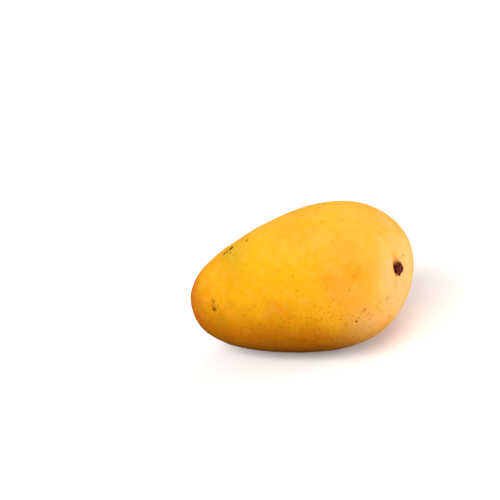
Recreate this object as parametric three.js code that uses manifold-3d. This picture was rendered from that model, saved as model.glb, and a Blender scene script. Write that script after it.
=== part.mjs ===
// A ripe golden mango, lying on its cheek with the stem end to +X.
// The fruit is one solid: an oblique egg, full at the stem end and narrow at the apex, with a
// shallow dimple round the stalk, a low sinus and beak on the ventral side, and a small flat
// spot that it rests on. The second piece is the dark stub that the stalk left in the dimple.
// Millimetres, +Z up. The origin is under the middle of the fruit, on the surface it rests on.
import * as THREE from "three";
import { mergeVertices } from "three/addons/utils/BufferGeometryUtils.js";
import Module from "manifold-3d";

const wasm = await Module();
wasm.setup();

// The fruit in its own axes: X from apex to stem end, -Y the ventral side, Z from cheek to cheek.
const LENGTH = 106; // stem pole to apex pole
const VENTRAL_SWELL = 26.2; // from the long axis to the ventral side, before the taper
const DORSAL_SWELL = 50.2; // from the long axis to the dorsal side, before the taper
const CHEEK_SWELL = 32.3; // from the long axis to each cheek, before the taper
const VENTRAL_TAPER = 0.24; // how much fuller each side is at the stem end than at the apex
const DORSAL_TAPER = 0.29;
const CHEEK_TAPER = 0.27;
const SIDE_FULLNESS = 0.11; // how much the two ends are blunter than an ellipse's
const CHEEK_FULLNESS = 0.215;
const STEM_END_SHIFT = 1.3; // the stem end leans to the dorsal side
const APEX_SHIFT = -8.9; // the apex leans to the ventral side

// How it lies
const ROLL = THREE.MathUtils.degToRad(-14); // about the long axis, ventral side up a little
const PITCH = THREE.MathUtils.degToRad(12.4); // the thick stem end holds the axis up
const FLAT_DEPTH = 0.6; // what the flat spot takes off the underside

// Places on the skin: degrees from the stem pole, and degrees round the long axis from +Y
const STALK_AT = { down: 6.2, round: 305 };
const BEAK_AT = { down: 128, round: 175 };
const SINUS_AT = { down: 108, round: 177 };

// Relief, each a rounded rise or hollow: its height and its radius
const DIMPLE = { height: -1.3, radius: 7.5 };
const BEAK = { height: 0.9, radius: 5 };
const SINUS = { height: -0.9, radius: 13 };
const SWELLS = 9; // broad, low, uneven swells all over the skin
const SWELL_HEIGHT = 0.45;
const SWELL_RADIUS = 15;
const SWELL_SEED = 34;

// The stalk's stub: a ragged, cupped disc with the broken stalk in its middle, on a short root
const STUB_RADIUS = 2.6; // the disc, between its points
const STUB_NECK_RADIUS = 1.9; // the broken stalk
const STUB_RISE = 2.4; // the broken stalk's top, above the bottom of the dimple
const STUB_DISC_RISE = 1.1; // the disc's top, above the bottom of the dimple
const STUB_DISC_THICKNESS = 0.6;
const STUB_CUP = 0.36; // how far the disc's rim curls up
const STUB_ROOT_RADIUS = 1.8;
const STUB_ROOT_DEPTH = 4;
// The disc's ragged points: degrees round the stalk, reach past the disc, and half width in degrees
const STUB_POINTS = [
  { at: 8, reach: 0.35, width: 14 },
  { at: 100, reach: 1.05, width: 34 },
  { at: 148, reach: 0.75, width: 14 },
  { at: 201, reach: 1.5, width: 13 },
  { at: 290, reach: 1, width: 11 },
  { at: 334, reach: 1.5, width: 10 },
];
const FIT_GAP = 0.3; // between the stub and the skin round it

const RINGS = 46;
const SEGMENTS = 72;
const POLE_CROWDING = 0.25; // draws the rings closer together at the stem end
const STUB_SEGMENTS = 48;

// A small repeatable random source
function randomSource(seed) {
  let state = seed;
  return () => {
    state = (state * 16807) % 2147483647;
    return state / 2147483647;
  };
}

// The smooth form, without relief. down is the angle from the stem pole, round the angle about the axis.
function smoothPoint(down, round) {
  const along = Math.cos(down);
  const across = Math.sin(down);
  const side = Math.cos(round);
  const blunt = SIDE_FULLNESS * along * along;
  const ventral = VENTRAL_SWELL * across * (1 + VENTRAL_TAPER * along + blunt);
  const dorsal = DORSAL_SWELL * across * (1 + DORSAL_TAPER * along + blunt);
  const cheek = CHEEK_SWELL * across * (1 + CHEEK_TAPER * along + CHEEK_FULLNESS * along * along);
  const lean =
    ((STEM_END_SHIFT + APEX_SHIFT) / 2) * along * along +
    ((STEM_END_SHIFT - APEX_SHIFT) / 2) * along;
  return new THREE.Vector3(
    (LENGTH / 2) * along,
    lean + ((ventral + dorsal) / 2 + ((dorsal - ventral) / 2) * side) * side,
    cheek * Math.sin(round),
  );
}

// Outward normal of the smooth form, from two short steps along it
function smoothNormal(down, round) {
  const step = 1e-3;
  const safe = Math.min(Math.max(down, step * 2), Math.PI - step * 2);
  const alongStep = smoothPoint(safe + step, round).sub(smoothPoint(safe - step, round));
  const roundStep = smoothPoint(safe, round + step).sub(smoothPoint(safe, round - step));
  return alongStep.cross(roundStep).normalize();
}

function placeOnSkin({ down, round }) {
  const angles = [THREE.MathUtils.degToRad(down), THREE.MathUtils.degToRad(round)];
  return { point: smoothPoint(...angles), normal: smoothNormal(...angles) };
}

const stalkPlace = placeOnSkin(STALK_AT);

// Every rise and hollow in the skin: the point that it is centred on, its height and its radius
function reliefList() {
  const random = randomSource(SWELL_SEED);
  const list = [
    { at: stalkPlace.point, ...DIMPLE },
    { at: placeOnSkin(BEAK_AT).point, ...BEAK },
    { at: placeOnSkin(SINUS_AT).point, ...SINUS },
  ];
  for (let i = 0; i < SWELLS; i++) {
    const down = Math.acos(1 - (2 * (i + 0.5)) / SWELLS);
    const round = 2 * Math.PI * random();
    const height = SWELL_HEIGHT * (2 * random() - 1);
    list.push({ at: smoothPoint(down, round), height, radius: SWELL_RADIUS });
  }
  return list;
}

const relief = reliefList();

function skinPoint(down, round) {
  const point = smoothPoint(down, round);
  let rise = 0;
  for (const { at, height, radius } of relief)
    rise += height * Math.exp(-point.distanceToSquared(at) / (radius * radius));
  return point.addScaledVector(smoothNormal(down, round), rise);
}

// A closed surface of rings between two poles, from a function of two angles
function closedSurface(rings, segments, ringAngle, pointAt) {
  const positions = [pointAt(0, 0)];
  for (let i = 1; i < rings; i++)
    for (let j = 0; j < segments; j++)
      positions.push(pointAt(ringAngle(i / rings), (2 * Math.PI * j) / segments));
  positions.push(pointAt(Math.PI, 0));
  const last = positions.length - 1;
  const at = (ring, segment) => 1 + (ring - 1) * segments + (segment % segments);
  const faces = [];
  for (let j = 0; j < segments; j++) {
    faces.push(0, at(1, j), at(1, j + 1));
    faces.push(last, at(rings - 1, j + 1), at(rings - 1, j));
    for (let i = 1; i < rings - 1; i++) {
      faces.push(at(i, j), at(i + 1, j), at(i + 1, j + 1));
      faces.push(at(i, j), at(i + 1, j + 1), at(i, j + 1));
    }
  }
  const geometry = new THREE.BufferGeometry().setFromPoints(positions);
  geometry.setIndex(faces);
  return geometry;
}

function fruitGeometry() {
  const crowded = (share) =>
    Math.PI * (share - (POLE_CROWDING / Math.PI) * Math.sin(Math.PI * share) * (1 - share));
  return closedSurface(RINGS, SEGMENTS, crowded, skinPoint);
}

// How far the disc's ragged points reach past its edge, at an angle round the stalk
function stubPointReach(round) {
  let reach = 0;
  for (const { at, reach: furthest, width } of STUB_POINTS) {
    const apart = ((THREE.MathUtils.radToDeg(round) - at + 540) % 360) - 180;
    reach += furthest * Math.exp(-((apart / width) ** 2));
  }
  return reach;
}

// The stub about its own axis, +Z out of the fruit, 0 at the bottom of the dimple.
// grow is added all round, so that the same form also cuts its socket.
function stubGeometry(grow) {
  // From the top down: radius, height, and how much of the points' reach and the cup's curl it takes
  const discUnder = STUB_DISC_RISE - STUB_DISC_THICKNESS;
  const outline = [
    [0, STUB_RISE - 0.5, 0],
    [STUB_NECK_RADIUS * 0.6, STUB_RISE - 0.3, 0],
    [STUB_NECK_RADIUS * 0.92, STUB_RISE, 0.05],
    [STUB_NECK_RADIUS * 1.05, STUB_RISE - 0.5, 0.1],
    [STUB_NECK_RADIUS * 1.2, STUB_DISC_RISE + 0.2, 0.2],
    [STUB_RADIUS * 0.9, STUB_DISC_RISE, 0.75],
    [STUB_RADIUS, STUB_DISC_RISE - STUB_DISC_THICKNESS / 2, 1],
    [STUB_RADIUS * 0.9, discUnder, 0.8],
    [STUB_ROOT_RADIUS, discUnder - 0.1, 0],
    [STUB_ROOT_RADIUS, -STUB_ROOT_DEPTH / 2, 0],
    [STUB_ROOT_RADIUS * 0.8, -STUB_ROOT_DEPTH, 0],
    [0, -STUB_ROOT_DEPTH, 0],
  ];
  const rings = outline.length - 1;
  const evenly = (share) => share * Math.PI;
  return closedSurface(rings, STUB_SEGMENTS, evenly, (angle, round) => {
    const [radius, height, raggedness] = outline[Math.round((angle / Math.PI) * rings)];
    const reach = radius + raggedness * stubPointReach(round) + (radius > 0 ? grow : 0);
    const above = height > STUB_DISC_RISE - STUB_DISC_THICKNESS;
    const lift = raggedness * STUB_CUP * (reach / STUB_RADIUS) ** 2 + (above ? grow : -grow);
    return new THREE.Vector3(reach * Math.cos(round), reach * Math.sin(round), height + lift);
  });
}

// Turns a geometry into a solid for joining and cutting, and back
function toSolid(geometry) {
  const merged = mergeVertices(geometry, 1e-4);
  return new wasm.Manifold(
    new wasm.Mesh({
      numProp: 3,
      vertProperties: new Float32Array(merged.attributes.position.array),
      triVerts: new Uint32Array(merged.index.array),
    }),
  );
}

function toGeometry(solid) {
  const mesh = solid.getMesh();
  return new THREE.BufferGeometry()
    .setAttribute("position", new THREE.BufferAttribute(mesh.vertProperties, 3))
    .setIndex(new THREE.BufferAttribute(mesh.triVerts, 1));
}

// From the fruit's own axes to how it lies
const lying = new THREE.Matrix4()
  .makeRotationY(-PITCH)
  .multiply(new THREE.Matrix4().makeRotationX(ROLL));

// From the stub's own axes to its place in the dimple
const dimpleBottom = stalkPlace.point
  .clone()
  .addScaledVector(stalkPlace.normal, DIMPLE.height);
const stubPlace = new THREE.Matrix4()
  .makeTranslation(dimpleBottom)
  .multiply(
    new THREE.Matrix4().makeRotationFromQuaternion(
      new THREE.Quaternion().setFromUnitVectors(new THREE.Vector3(0, 0, 1), stalkPlace.normal),
    ),
  )
  .premultiply(lying);

const fruit = fruitGeometry().applyMatrix4(lying);
const stub = stubGeometry(0).applyMatrix4(stubPlace);
fruit.computeBoundingBox();
stub.computeBoundingBox();
const { min, max } = fruit.boundingBox.clone().union(stub.boundingBox);
const floor = min.z + FLAT_DEPTH;
const toOrigin = new THREE.Matrix4().makeTranslation(
  -(min.x + max.x) / 2,
  -(min.y + max.y) / 2,
  -floor,
);

// Everything below the level of the flat spot
const below = new THREE.BoxGeometry(4 * LENGTH, 4 * LENGTH, LENGTH);
below.translate(0, 0, floor - LENGTH / 2);
below.deleteAttribute("normal");
below.deleteAttribute("uv");

const fruitSolid = toSolid(fruit)
  .subtract(toSolid(below))
  .subtract(toSolid(stubGeometry(FIT_GAP).applyMatrix4(stubPlace)));

function piece(name, geometry, colour, roughness) {
  const material = new THREE.MeshStandardMaterial({ color: colour, roughness, metalness: 0 });
  const mesh = new THREE.Mesh(geometry.applyMatrix4(toOrigin), material);
  mesh.name = name;
  return mesh;
}

const mango = new THREE.Group();
mango.add(piece("fruit", toGeometry(fruitSolid), "#f7ae1c", 0.45));
mango.add(piece("stalk_stub", stub, "#4a1f10", 0.85));

export default mango;
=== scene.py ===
"""A ripe golden mango lying on a pale floor: its skin, and the dried stub of its stalk."""

import math

import bpy
from mathutils import Matrix, Vector


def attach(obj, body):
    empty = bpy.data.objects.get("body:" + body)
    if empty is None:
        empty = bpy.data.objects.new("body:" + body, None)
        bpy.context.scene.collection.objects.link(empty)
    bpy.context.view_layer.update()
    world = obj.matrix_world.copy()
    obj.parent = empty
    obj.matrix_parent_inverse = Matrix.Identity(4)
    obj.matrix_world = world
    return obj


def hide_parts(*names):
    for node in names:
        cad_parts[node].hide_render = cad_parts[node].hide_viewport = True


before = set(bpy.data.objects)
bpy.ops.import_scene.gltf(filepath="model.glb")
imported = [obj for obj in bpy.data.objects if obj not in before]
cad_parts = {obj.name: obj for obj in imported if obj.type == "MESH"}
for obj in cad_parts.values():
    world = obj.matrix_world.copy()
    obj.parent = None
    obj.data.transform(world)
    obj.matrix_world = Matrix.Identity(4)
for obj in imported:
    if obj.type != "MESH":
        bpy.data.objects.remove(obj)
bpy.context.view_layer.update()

bl_info = {
    "name": "Golden Mango",
    "version": (1, 0, 0),
    "blender": (4, 5, 0),
    "location": "View3D > Sidebar > Mango",
    "description": "Models and colours a ripe mango on its solid frame",
    "category": "Object",
}

MM = 0.001

# The camera, found from the fruit's outline in the photograph at an assumed distance.
# Lengths are in millimetres.
CAMERA_TURN = 31.379  # degrees round the fruit, from straight in front of its ventral side
CAMERA_HEIGHT = 23.815  # degrees above the floor
CAMERA_TILT = -14.263  # degrees about the line of sight
CAMERA_DISTANCE = 750
CAMERA_TARGET = Vector((-23.47, -7.2, 46.77))  # what the middle of the picture shows
CAMERA_LENS = 113.96

# Places on the skin, in millimetres. Those of the marks are about where the lines of sight through
# the marks in the photograph meet the fruit.
STALK_AT = Vector((51.2, -8.6, 38.2))  # the middle of the stalk's scar
BEAK_DOTS = (Vector((-33.5, -34.7, 34.1)), Vector((-33.5, -35.6, 30.3)))
BEAK_DOT_RADIUS = 1.4
BEAK_DOT_DEPTH = 0.35
BELLY_PLACES = ((-4, -37, 37), (14, -38, 40), (28, -37, 42))

SKIN_PATCHES = (
    # middle, radius, softness, share, colour
    ((39.5, -30.0, 45.5), 4, 12, 0.6, "orange"),
    ((-21.0, -26.0, 53.0), 6, 22, 0.68, "olive"),
    ((-27.0, -23.0, 52.5), 2, 7, 0.4, "olive"),
    ((5.3, -39.8, 27.7), 1.5, 6, 0.5, "orange"),
    ((28.0, -38.4, 26.0), 5, 13, 0.6, "gold"),
    ((42.0, -29.0, 22.0), 6, 18, 0.55, "peach"),
    ((24.0, -27.0, 61.8), 3, 12, 0.15, "peach"),
    ((-30.0, -33.0, 42.0), 4, 16, 0.45, "gold"),
    ((-29.5, -34.8, 35.5), 4, 11, 0.45, "gold"),
    ((46.0, -24.5, 46.0), 4, 12, 0.3, "orange"),
    ((50.0, -17.5, 33.5), 3, 10, 0.4, "honey"),
    ((49.0, -10.0, 18.5), 5, 13, 0.5, "peach"),
    ((43.0, 7.5, 55.0), 4, 14, 0.45, "peach"),
)

DARK_MARKS = (
    # place, radius, softness, strength
    ((50.7, -0.2, 39.8), 0.5, 0.7, 0.55),
    ((49.8, -23.5, 30.0), 0.7, 1.0, 0.3),
    ((49.3, -21.8, 28.4), 0.5, 0.8, 0.3),
    ((50.2, -21.6, 31.6), 0.4, 0.8, 0.3),
    ((-24.8, -20.8, 54.8), 1.3, 0.9, 0.95),
    ((-24.0, -23.6, 54.0), 0.55, 0.7, 0.6),
    ((-26.8, -22.0, 53.8), 1.0, 1.2, 0.55),
    ((-28.2, -22.2, 52.8), 1.1, 1.3, 0.6),
    ((-21.4, -25.8, 53.6), 0.4, 0.6, 0.5),
    ((-15.5, -21.0, 59.0), 0.9, 0.9, 0.6),
    ((38.2, -34.8, 24.5), 0.55, 0.6, 0.85),
    ((19.2, -9.6, 69.5), 0.8, 1.6, 0.25),
    ((45.5, -8.4, 56.0), 0.9, 1.8, 0.2),
)

RUSTY_MARKS = (
    ((42.3, -32.5, 29.5), 0.7, 0.8, 0.75),
    ((44.3, -30.6, 25.4), 0.55, 0.8, 0.55),
    ((20.4, -39.3, 27.5), 0.65, 0.8, 0.6),
    ((16.4, -39.5, 28.8), 0.5, 0.8, 0.5),
    ((27.4, -38.2, 30.9), 0.5, 0.7, 0.4),
    ((41.5, -27.9, 48.0), 0.6, 2.2, 0.4),
    ((41.0, -29.0, 46.4), 0.4, 2.4, 0.35),
    ((40.2, -30.2, 44.9), 0.8, 2.6, 0.4),
)

# Unevenness of the surfaces: how far apart the swells are and how high, in millimetres
SKIN_UNEVENNESS = ((11, 0.5), (4, 0.14))
STUB_UNEVENNESS = ((1.1, 0.6), (0.4, 0.25))

# The floor lies this far under the fruit, so that the two flat faces don't coincide
FLOOR_GAP = 0.02

# The soft lights: name, place and width in metres. The panel holds their powers.
LIGHTS = (
    ("front", (0.3, -3.5, 3.3), 3.0),
    ("left", (-2.4, -2.7, 3.3), 3.0),
    ("right", (4.0, 2.0, 0.9), 1.6),
    ("back", (0.5, 3.5, 3.2), 2.5),
)
LIGHT_AIM = Vector((0, 0, 0.03))


def linear(hex_colour):
    """The linear red, green and blue of a colour written as a web colour."""
    parts = [int(hex_colour[i : i + 2], 16) / 255 for i in (0, 2, 4)]
    return [c / 12.92 if c <= 0.04045 else ((c + 0.055) / 1.055) ** 2.4 for c in parts]


def colour_setting(name, description, hex_colour):
    """A colour that the panel shows, given as a web colour."""
    return bpy.props.FloatVectorProperty(
        name=name,
        description=description,
        subtype="COLOR",
        size=3,
        min=0,
        max=1,
        default=linear(hex_colour),
    )


def length_setting(name, description, millimetres):
    """A length that the panel shows, given in millimetres."""
    return bpy.props.FloatProperty(
        name=name,
        description=description,
        subtype="DISTANCE",
        unit="LENGTH",
        min=0,
        precision=5,
        default=millimetres * MM,
    )


def power_setting(name, description, watts):
    """The power of a light, in watts."""
    return bpy.props.FloatProperty(
        name=name, description=description, subtype="POWER", unit="POWER", min=0, default=watts
    )


class SkinSettings(bpy.types.PropertyGroup):
    """Mesh size and colours of the skin"""

    mesh_size: length_setting("Mesh size", "Edge length of the skin before it is smoothed", 1.18)
    gold: colour_setting("Gold", "Most of the skin", "fcb812")
    orange: colour_setting("Orange", "The ripest skin, over the belly", "f89c04")
    lemon: colour_setting("Lemon", "The lighter skin on top", "f7b42e")
    honey: colour_setting("Honey", "The skin of the shoulder, before the stalk end", "f6ab38")
    peach: colour_setting("Peach", "The pale skin round the stalk", "fac684")
    olive: colour_setting("Olive", "The least ripe skin", "bc9c12")
    # Amber is partly the ripe colour of the apex and underside, partly painted shade that darkens
    # them.
    amber_and_shade: colour_setting("Amber", "The skin of the apex and underneath", "c86804")
    bloom: colour_setting("Bloom", "The pale, waxy bloom on the skin", "fcc468")
    pore: colour_setting("Pore", "The small breathing pores", "a24a06")
    # Rust also paints the shade at the tip of the apex.
    rust_and_shade: colour_setting("Rust", "Reddish spots and streaks", "d8640c")
    blush: colour_setting("Blush", "The stained skin beside the stalk", "de8c50")
    # Bruise also paints the shade round the stalk stub.
    bruise_and_shade: colour_setting("Bruise", "Old marks and scuffs", "5e3c10")


class StubSettings(bpy.types.PropertyGroup):
    """Mesh size and colours of the stalk stub"""

    mesh_size: length_setting("Mesh size", "Edge length of the stub's surface", 0.13)
    bark: colour_setting("Bark", "The dried stalk", "6c1a08")
    # Fleck is partly the colour of broken fibres, partly a painted pinkish sheen.
    fleck_and_sheen: colour_setting("Fleck", "Broken, dusty fibres", "8f4640")
    pitch: colour_setting("Pitch", "Dried sap in the hollows", "2a0602")


class StageSettings(bpy.types.PropertyGroup):
    """Floor and lights"""

    floor_size: length_setting("Floor size", "Width of the floor", 8000)
    floor: colour_setting("Floor", "The pale floor", "f8f6f5")
    glow: colour_setting("Glow", "The floor's own faint light, which softens shadows", "fff0ea")
    bounce: colour_setting("Bounce", "What the floor reflects onto the fruit", "504e4c")
    sky: bpy.props.FloatProperty(
        name="Sky", description="Strength of the light all round", min=0, default=0.4
    )
    front: power_setting("Front light", "Power of the high light in front", 128)
    left: power_setting("Left light", "Power of the high light at the left", 90)
    right: power_setting("Right light", "Power of the low light at the right", 112)
    back: power_setting("Back light", "Power of the light behind", 50)


class Field:
    """A number that varies over a surface. Arithmetic on it adds Math nodes."""

    def __init__(self, finish, socket):
        self.finish = finish
        self.socket = socket

    def __add__(self, other):
        return self.finish.maths("ADD", self, other)

    def __sub__(self, other):
        return self.finish.maths("SUBTRACT", self, other)

    def __mul__(self, other):
        return self.finish.maths("MULTIPLY", self, other)

    def __rsub__(self, other):
        return self.finish.maths("SUBTRACT", other, self)

    __radd__ = __add__
    __rmul__ = __mul__

    def at_least(self, other):
        return self.finish.maths("MAXIMUM", self, other)

    def at_most(self, other):
        return self.finish.maths("MINIMUM", self, other)


class Finish:
    """One procedural material. Places are in millimetres, in the object's own space."""

    def __init__(self, name):
        self.material = bpy.data.materials.new(name)
        self.material.use_nodes = True
        self.tree = self.material.node_tree
        self.shader = self.tree.nodes["Principled BSDF"]
        coordinates = self.node("ShaderNodeTexCoord")
        scaled = self.node(
            "ShaderNodeVectorMath",
            {"operation": "SCALE"},
            {0: coordinates.outputs["Object"], "Scale": 1 / MM},
        )
        self.place = scaled.outputs[0]

    def node(self, kind, settings=None, values=None):
        """Adds a node. Its settings are set first, and then its sockets' values or links."""
        made = self.tree.nodes.new(kind)
        for name, value in (settings or {}).items():
            if name == "stops":
                self.set_stops(made.color_ramp, value)
            else:
                setattr(made, name, value)
        for key, value in (values or {}).items():
            self.feed(made.inputs[key], value)
        return made

    def set_stops(self, ramp, stops):
        while len(ramp.elements) < len(stops):
            ramp.elements.new(0.5)
        for element, (position, colour) in zip(ramp.elements, stops):
            element.position = position
            element.color = colour

    def feed(self, socket, value):
        if isinstance(value, Field):
            value = value.socket
        if isinstance(value, bpy.types.NodeSocket):
            self.tree.links.new(value, socket)
        else:
            socket.default_value = value

    def maths(self, operation, first, second):
        made = self.node("ShaderNodeMath", {"operation": operation}, {0: first, 1: second})
        return Field(self, made.outputs[0])

    def noise(self, size, detail=2.0, shift=0.0, stretch=(1, 1, 1)):
        """Soft noise between 0 and 1, whose blotches are about size millimetres across."""
        moved = self.node(
            "ShaderNodeMapping",
            {},
            {"Vector": self.place, "Location": (shift, 2 * shift, 3 * shift), "Scale": stretch},
        )
        made = self.node(
            "ShaderNodeTexNoise",
            {},
            {"Vector": moved.outputs[0], "Scale": 1 / size, "Detail": detail},
        )
        return Field(self, made.outputs[0])

    def ease(self, field, start, end):
        """0 up to start and 1 from end on, with a smooth step between them."""
        made = self.node(
            "ShaderNodeMapRange",
            {"interpolation_type": "SMOOTHSTEP", "clamp": True},
            {"Value": field, "From Min": start, "From Max": end, "To Min": 0.0, "To Max": 1.0},
        )
        return Field(self, made.outputs[0])

    def distance(self, point):
        made = self.node(
            "ShaderNodeVectorMath", {"operation": "DISTANCE"}, {0: self.place, 1: tuple(point)}
        )
        return Field(self, made.outputs["Value"])

    def along(self, direction):
        """How far each place lies along a direction, in millimetres."""
        made = self.node(
            "ShaderNodeVectorMath", {"operation": "DOT_PRODUCT"}, {0: self.place, 1: direction}
        )
        return Field(self, made.outputs["Value"])

    def patch(self, point, radius, softness, wander=None):
        """1 within radius of a point, fading to 0 over softness. wander makes its edge uneven."""
        reach = self.distance(point)
        if wander is not None:
            reach = reach + wander
        return 1 - self.ease(reach, radius - softness / 2, radius + softness / 2)

    def dots(self, spacing, radius, softness, shift=0.0):
        """Scattered small dots."""
        moved = self.node(
            "ShaderNodeVectorMath",
            {"operation": "ADD"},
            {0: self.place, 1: (shift, shift, shift)},
        )
        made = self.node(
            "ShaderNodeTexVoronoi", {}, {"Vector": moved.outputs[0], "Scale": 1 / spacing}
        )
        reach = Field(self, made.outputs["Distance"]) * spacing
        return 1 - self.ease(reach, radius - softness / 2, radius + softness / 2)

    def blend(self, share, under, over):
        """Lays the colour over on the colour under, by a share from 0 to 1."""
        made = self.node(
            "ShaderNodeMix",
            {"data_type": "RGBA"},
            {0: share, 6: self.opaque(under), 7: self.opaque(over)},
        )
        return made.outputs[2]

    def opaque(self, colour):
        if isinstance(colour, bpy.types.NodeSocket):
            return colour
        return (*colour, 1.0)

    def bump(self, height, depth, after=None):
        """Relief from a height between 0 and 1, depth metres deep."""
        values = {"Height": height, "Distance": depth, "Strength": 1.0}
        if after is not None:
            values["Normal"] = after
        return self.node("ShaderNodeBump", {}, values).outputs[0]

    def finish(self, **sockets):
        for name, value in sockets.items():
            self.feed(self.shader.inputs[name.replace("_", " ")], value)
        return self.material


def skin_finish(settings):
    """Waxy mango skin: clouds of gold and orange, a pale stalk end, pores, scuffs and spots, with
    painted shade on the underside, at the apex and round the stalk.
    """
    skin = Finish("mango_skin")
    height = skin.along((0, 0, 1))
    colour = skin_clouds(skin, settings, height)
    colour = skin_mottling(skin, settings, height, colour)
    pores = pore_marks(skin, height)
    colour = skin.blend(pores * 0.62, colour, settings.pore)
    colour = beak_marks(skin, settings, colour)
    colour = stalk_marks(skin, settings, colour)
    colour, spots = old_marks(skin, settings, colour)

    wax = skin.ease(skin.noise(9, 3.0, shift=11), 0.3, 0.7)
    roughness = 0.42 + wax * 0.1 + pores * 0.15 + spots * 0.25
    peel = skin.bump(skin.noise(0.7, 2.0, shift=13), 0.00004)
    dimples = skin.bump(1 - pores.at_least(spots), 0.00003, peel)
    return skin.finish(
        Base_Color=colour,
        Roughness=roughness,
        Normal=dimples,
        IOR=1.42,
        Specular_IOR_Level=0.07,
        Subsurface_Weight=0.18,
        Subsurface_Scale=0.003,
        Subsurface_Radius=(1.0, 0.45, 0.08),
    )


def skin_clouds(skin, settings, height):
    """The large soft areas of colour, from apex to stalk and from top to underside. The underside
    and the apex are partly painted shade.
    """
    wander = (skin.noise(14, 3.0, shift=5) - 0.5) * 22
    along = skin.along((1, 0, 0))
    colour = skin.blend(skin.ease(skin.noise(20, 3.0), 0.45, 0.75), settings.gold, settings.orange)
    colour = skin.blend(skin.ease(height + wander, 48, 74) * 0.8, colour, settings.lemon)
    for middle in BELLY_PLACES:
        belly = skin.patch(middle, 7, 22, wander * 0.6)
        colour = skin.blend(belly * 0.22, colour, settings.orange)
    # Darker amber towards the underside: partly ripe colour, partly painted shade.
    low = 1 - skin.ease(height + wander * 0.4, 15, 37)
    colour = skin.blend(low * 0.9, colour, settings.amber_and_shade)
    # Amber at the apex: partly ripe colour, partly painted shade.
    apex = 1 - skin.ease(along + wander * 0.4, -56, -36)
    colour = skin.blend(apex * 0.85, colour, settings.amber_and_shade)
    # Painted shade at the very tip of the apex, in rust.
    tip_shade = 1 - skin.ease(along + wander * 0.2, -52, -36)
    colour = skin.blend(tip_shade * 0.8, colour, settings.rust_and_shade)
    shoulder = skin.ease(along + wander * 0.3, 17, 42)
    colour = skin.blend(shoulder * 0.85, colour, settings.honey)
    stalk_end = skin.ease(along + wander * 0.15, 44.5, 54)
    colour = skin.blend(stalk_end * 0.8, colour, settings.peach)
    for middle, radius, softness, share, name in SKIN_PATCHES:
        patch = skin.patch(middle, radius, softness, wander * 0.3)
        colour = skin.blend(patch * share, colour, getattr(settings, name))
    return colour


def skin_mottling(skin, settings, height, colour):
    """Cloudy mottling and the fine grain between the pores."""
    mottle = skin.ease(skin.noise(3.2, 3.0, shift=3), 0.3, 0.75)
    colour = skin.blend(mottle * 0.12, colour, settings.lemon)
    bloom = skin.ease(skin.noise(3.6, 4.0, shift=71), 0.45, 0.72)
    colour = skin.blend(bloom * skin.ease(height, 22, 40) * 0.2, colour, settings.bloom)
    tint = skin.ease(skin.noise(4.5, 3.0, shift=23), 0.5, 0.75)
    colour = skin.blend(tint * 0.16, colour, settings.olive)
    flush = skin.ease(skin.noise(3.8, 3.0, shift=51), 0.5, 0.8)
    colour = skin.blend(flush * 0.22, colour, settings.orange)
    grain = skin.ease(skin.noise(0.8, 2.0, shift=7), 0.35, 0.75)
    colour = skin.blend(grain * 0.1, colour, settings.amber_and_shade)
    pale = skin.dots(2.3, 0.4, 0.4, shift=61)
    return skin.blend(pale * 0.3, colour, settings.lemon)


def pore_marks(skin, height):
    """Small pores, thicker on the ground towards the underside."""
    few = skin.dots(5.5, 0.5, 0.6, shift=2)
    many = skin.dots(2.5, 0.46, 0.75, shift=40)
    tiny = skin.dots(1.7, 0.28, 0.4, shift=17)
    lower = 1 - skin.ease(height + (skin.noise(11, 2.0, shift=21) - 0.5) * 22, 26, 42)
    return (few * 0.6 + many * lower * 0.7 + tiny * (0.2 + lower * 0.4)).at_most(1.0)


def beak_marks(skin, settings, colour):
    """Two dots and a faint crease where the flower's style was, and a dull patch under them."""
    fuzz = (skin.noise(1.6, 2.0, shift=31) - 0.5) * 1.2
    upper, lower = BEAK_DOTS
    dull = skin.patch(lower + Vector((3, 0, -5)), 3, 9, (skin.noise(6, 2.0) - 0.5) * 6)
    colour = skin.blend(dull * 0.5, colour, settings.olive)
    halo = skin.patch((upper + lower) / 2, 1.6, 4.5, fuzz)
    colour = skin.blend(halo * 0.4, colour, settings.bruise_and_shade)
    colour = skin.blend(skin.patch(upper, 0.9, 1.2, fuzz) * 0.6, colour, settings.bruise_and_shade)
    return skin.blend(skin.patch(lower, 1.1, 1.2, fuzz) * 0.85, colour, settings.bruise_and_shade)


def stalk_marks(skin, settings, colour):
    """The stained skin round the stalk, with a dark scar and painted shade where the stub sits."""
    fuzz = (skin.noise(2.4, 3.0, shift=27) - 0.5) * 3
    flush = skin.patch(STALK_AT + Vector((0, 1, 5)), 2.5, 4.5, fuzz)
    colour = skin.blend(flush * 0.6, colour, settings.orange)
    stain = skin.patch(STALK_AT + Vector((0, -6, -5.5)), 1.5, 6, fuzz)
    colour = skin.blend(stain * 0.6, colour, settings.blush)
    run = skin.patch(STALK_AT + Vector((0, -9, -9.5)), 1, 5, fuzz)
    colour = skin.blend(run * 0.35, colour, settings.blush)
    scuff = skin.patch(STALK_AT + Vector((-1, -13.5, -8)), 1, 5, fuzz * 1.5)
    colour = skin.blend(scuff * 0.22, colour, settings.bruise_and_shade)
    green = skin.patch(STALK_AT + Vector((1, 7, 1)), 1.5, 4, fuzz)
    colour = skin.blend(green * 0.25, colour, settings.olive)
    ring = skin.patch(STALK_AT, 4.2, 2.6, fuzz * 0.6)
    colour = skin.blend(ring * 0.6, colour, settings.rust_and_shade)
    # A dark scar under the stub, and painted shade round it where the stub sits in its hollow.
    scar_and_shade = skin.patch(STALK_AT, 2.2, 1.6, fuzz * 0.4)
    return skin.blend(scar_and_shade * 0.35, colour, settings.bruise_and_shade)


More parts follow.
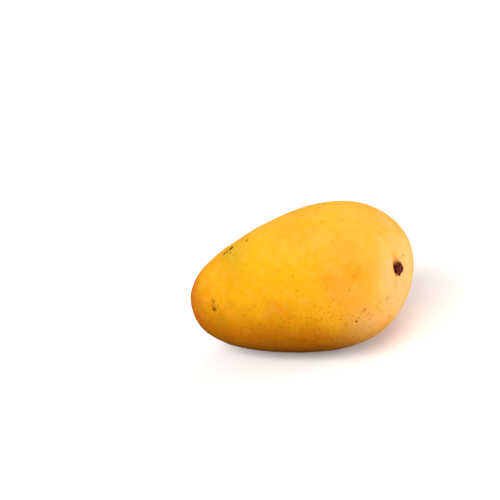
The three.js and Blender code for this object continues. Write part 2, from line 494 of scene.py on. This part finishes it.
def old_marks(skin, settings, colour):
    """Single spots, scuffs and a streak that the fruit picked up on the tree."""
    fuzz = (skin.noise(0.9, 2.0, shift=37) - 0.5) * 0.8
    rusty = mark_share(skin, RUSTY_MARKS, fuzz)
    colour = skin.blend(rusty, colour, settings.rust_and_shade)
    dark = mark_share(skin, DARK_MARKS, fuzz)
    return skin.blend(dark, colour, settings.bruise_and_shade), dark.at_least(rusty * 0.4)


def mark_share(skin, marks, fuzz):
    """How strongly the strongest of the marks colours each place."""
    every = None
    for place, radius, softness, strength in marks:
        spot = skin.patch(place, radius, softness, fuzz) * strength
        every = spot if every is None else every.at_least(spot)
    return every


def stub_finish(settings):
    """Dried stalk: dark, reddish and fibrous, with sap in its hollows and a painted pinkish sheen
    on its fibres.
    """
    bark = Finish("dried_stalk")
    clumps = bark.ease(bark.noise(1.1, 4.0), 0.35, 0.65)
    fibres_and_sheen = bark.ease(bark.noise(0.35, 3.0, shift=4, stretch=(0.3, 1, 1)), 0.45, 0.7)
    colour = bark.blend(clumps, settings.pitch, settings.bark)
    # Pinkish flecks along the fibres: partly fibre colour, partly painted sheen.
    colour = bark.blend(fibres_and_sheen * 0.5, colour, settings.fleck_and_sheen)
    relief = bark.bump(bark.noise(0.3, 4.0, shift=8, stretch=(0.4, 1, 1)), 0.0001)
    return bark.finish(
        Base_Color=colour,
        Roughness=0.75 - clumps * 0.25,
        Normal=relief,
        Specular_IOR_Level=0.15,
    )


def floor_finish(settings):
    """A plain pale studio floor. At the left it gives back less light than the camera sees."""
    floor = Finish("studio_floor")
    path = floor.node("ShaderNodeLightPath")
    seen = Field(floor, path.outputs["Is Camera Ray"])
    drift = floor.noise(400, 1.0)
    pale = floor.blend(drift * 0.04, settings.floor, (0.8, 0.8, 0.8))
    right = floor.ease(floor.along((1, 0, 0)), 12, 75)
    reflected = floor.blend(right, settings.bounce, pale)
    shade = floor.blend(seen, reflected, pale)
    glow = floor.blend(seen, (0, 0, 0), settings.glow)
    return floor.finish(
        Base_Color=shade,
        Roughness=0.9,
        Specular_IOR_Level=0.1,
        Emission_Color=glow,
        Emission_Strength=0.19,
    )


def select_only(piece):
    """Deselects all else, and makes the piece the active one."""
    bpy.ops.object.select_all(action="DESELECT")
    piece.select_set(True)
    bpy.context.view_layer.objects.active = piece


def apply_modifier(piece, kind, **settings):
    """Adds a modifier with its settings, and makes its result the piece's mesh."""
    select_only(piece)
    modifier = piece.modifiers.new(kind.title(), kind)
    for name, value in settings.items():
        setattr(modifier, name, value)
    bpy.ops.object.modifier_apply(modifier=modifier.name)


def copy_of_solid(node, name):
    """A merged copy of a solid of the frame, which is left as it is."""
    piece = bpy.data.objects.new(name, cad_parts[node].data.copy())
    bpy.context.scene.collection.objects.link(piece)
    piece.data.materials.clear()
    select_only(piece)
    bpy.ops.object.mode_set(mode="EDIT")
    bpy.ops.mesh.select_all(action="SELECT")
    bpy.ops.mesh.remove_doubles(threshold=1e-6)
    bpy.ops.mesh.normals_make_consistent(inside=False)
    bpy.ops.object.mode_set(mode="OBJECT")
    return piece


def uneven(piece, size, height):
    """Raises and lowers the surface by soft noise. Both lengths are in millimetres."""
    clouds = bpy.data.textures.new("unevenness", "CLOUDS")
    clouds.noise_scale = size * MM
    clouds.noise_depth = 2
    apply_modifier(
        piece,
        "DISPLACE",
        texture=clouds,
        strength=height * MM,
        mid_level=0.5,
        texture_coords="LOCAL",
    )


def press(piece, place, radius, height):
    """A rounded rise or hollow in the surface. The place and lengths are in millimetres."""
    group = piece.vertex_groups.new(name="press")
    centre = place * MM
    for vertex in piece.data.vertices:
        share = math.exp(-((vertex.co - centre).length_squared) / (radius * MM) ** 2)
        if share > 0.01:
            group.add([vertex.index], share, "REPLACE")
    apply_modifier(
        piece, "DISPLACE", strength=height * MM, mid_level=0.0, vertex_group=group.name
    )
    piece.vertex_groups.remove(piece.vertex_groups["press"])


def rest_on_floor(piece):
    """Flattens what the unevenness pushed below the floor."""
    for vertex in piece.data.vertices:
        vertex.co.z = max(vertex.co.z, 0.0)


def hand_over(piece, node, material):
    """Finishes a piece, which then stands for its node of the frame."""
    piece.data.materials.append(material)
    select_only(piece)
    bpy.ops.object.shade_smooth()
    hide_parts(node)
    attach(piece, "root")


class MANGO_OT_skin(bpy.types.Operator):
    """Models the skin of the whole fruit over its solid"""

    bl_idname = "mango.skin"
    bl_label = "Skin"

    def execute(self, context):
        settings = context.scene.mango_skin
        skin = copy_of_solid("fruit", "skin")
        apply_modifier(skin, "REMESH", mode="VOXEL", voxel_size=settings.mesh_size)
        apply_modifier(skin, "SMOOTH", factor=0.5, iterations=14)
        apply_modifier(skin, "SUBSURF", levels=1, render_levels=1)
        apply_modifier(skin, "SMOOTH", factor=0.5, iterations=8)
        for size, height in SKIN_UNEVENNESS:
            uneven(skin, size, height)
        for dot in BEAK_DOTS:
            press(skin, dot, BEAK_DOT_RADIUS, -BEAK_DOT_DEPTH)
        rest_on_floor(skin)
        hand_over(skin, "fruit", skin_finish(settings))
        return {"FINISHED"}


class MANGO_OT_stub(bpy.types.Operator):
    """Models the dried stub that the stalk left"""

    bl_idname = "mango.stub"
    bl_label = "Stalk stub"

    def execute(self, context):
        settings = context.scene.mango_stub
        stub = copy_of_solid("stalk_stub", "stub")
        apply_modifier(stub, "REMESH", mode="VOXEL", voxel_size=settings.mesh_size)
        apply_modifier(stub, "SMOOTH", factor=0.5, iterations=4)
        for size, height in STUB_UNEVENNESS:
            uneven(stub, size, height)
        hand_over(stub, "stalk_stub", stub_finish(settings))
        return {"FINISHED"}


class MANGO_OT_stage(bpy.types.Operator):
    """Sets the floor, the lights and the camera"""

    bl_idname = "mango.stage"
    bl_label = "Stage"

    def execute(self, context):
        settings = context.scene.mango_stage
        self.lay_floor(settings)
        self.hang_lights(settings)
        self.aim_camera(context)
        context.scene.view_settings.view_transform = "Standard"
        return {"FINISHED"}

    def lay_floor(self, settings):
        bpy.ops.object.select_all(action="DESELECT")
        bpy.ops.mesh.primitive_plane_add(size=settings.floor_size, location=(0, 0, -FLOOR_GAP * MM))
        floor = bpy.context.active_object
        floor.name = "floor"
        floor.data.materials.append(floor_finish(settings))

    def hang_lights(self, settings):
        world = bpy.data.worlds.new("studio_light")
        bpy.context.scene.world = world
        world.use_nodes = True
        background = world.node_tree.nodes["Background"]
        background.inputs["Color"].default_value = (1, 1, 1, 1)
        background.inputs["Strength"].default_value = settings.sky
        for name, place, size in LIGHTS:
            self.hang_soft_light(name + "_light", place, size, getattr(settings, name))

    def hang_soft_light(self, name, place, size, power):
        bpy.ops.object.light_add(type="AREA", location=place)
        light = bpy.context.active_object
        light.name = name
        light.data.size = size
        light.data.energy = power
        aim = LIGHT_AIM - Vector(place)
        light.rotation_euler = aim.to_track_quat("-Z", "Y").to_euler()

    def aim_camera(self, context):
        bpy.ops.object.camera_add()
        camera = bpy.context.active_object
        camera.name = "camera"
        turn, rise, tilt = (
            math.radians(a) for a in (CAMERA_TURN, CAMERA_HEIGHT, CAMERA_TILT)
        )
        back = Vector(
            (math.sin(turn) * math.cos(rise), -math.cos(turn) * math.cos(rise), math.sin(rise))
        )
        level = Vector((math.cos(turn), math.sin(turn), 0))
        upright = back.cross(level)
        right = level * math.cos(tilt) + upright * math.sin(tilt)
        up = back.cross(right)
        camera.matrix_world = Matrix.Translation(
            (CAMERA_TARGET + back * CAMERA_DISTANCE) * MM
        ) @ Matrix((right, up, back)).transposed().to_4x4()
        camera.data.lens = CAMERA_LENS
        context.scene.camera = camera


class MANGO_PT_panel(bpy.types.Panel):
    """Lists the pieces of the mango and what can be set on them"""

    bl_idname = "MANGO_PT_panel"
    bl_label = "Mango"
    bl_space_type = "VIEW_3D"
    bl_region_type = "UI"
    bl_category = "Mango"

    def draw(self, context):
        for operator, settings in (
            (MANGO_OT_skin, context.scene.mango_skin),
            (MANGO_OT_stub, context.scene.mango_stub),
            (MANGO_OT_stage, context.scene.mango_stage),
        ):
            box = self.layout.box()
            box.operator(operator.bl_idname)
            for name in settings.bl_rna.properties.keys():
                if name not in ("rna_type", "name"):
                    box.prop(settings, name)


CLASSES = (
    SkinSettings,
    StubSettings,
    StageSettings,
    MANGO_OT_skin,
    MANGO_OT_stub,
    MANGO_OT_stage,
    MANGO_PT_panel,
)


def register():
    for cls in CLASSES:
        bpy.utils.register_class(cls)
    bpy.types.Scene.mango_skin = bpy.props.PointerProperty(type=SkinSettings)
    bpy.types.Scene.mango_stub = bpy.props.PointerProperty(type=StubSettings)
    bpy.types.Scene.mango_stage = bpy.props.PointerProperty(type=StageSettings)


def unregister():
    del bpy.types.Scene.mango_stage
    del bpy.types.Scene.mango_stub
    del bpy.types.Scene.mango_skin
    for cls in reversed(CLASSES):
        bpy.utils.unregister_class(cls)


def main():
    register()
    bpy.ops.mango.skin()
    bpy.ops.mango.stub()
    bpy.ops.mango.stage()


if __name__ == "__main__":
    main()
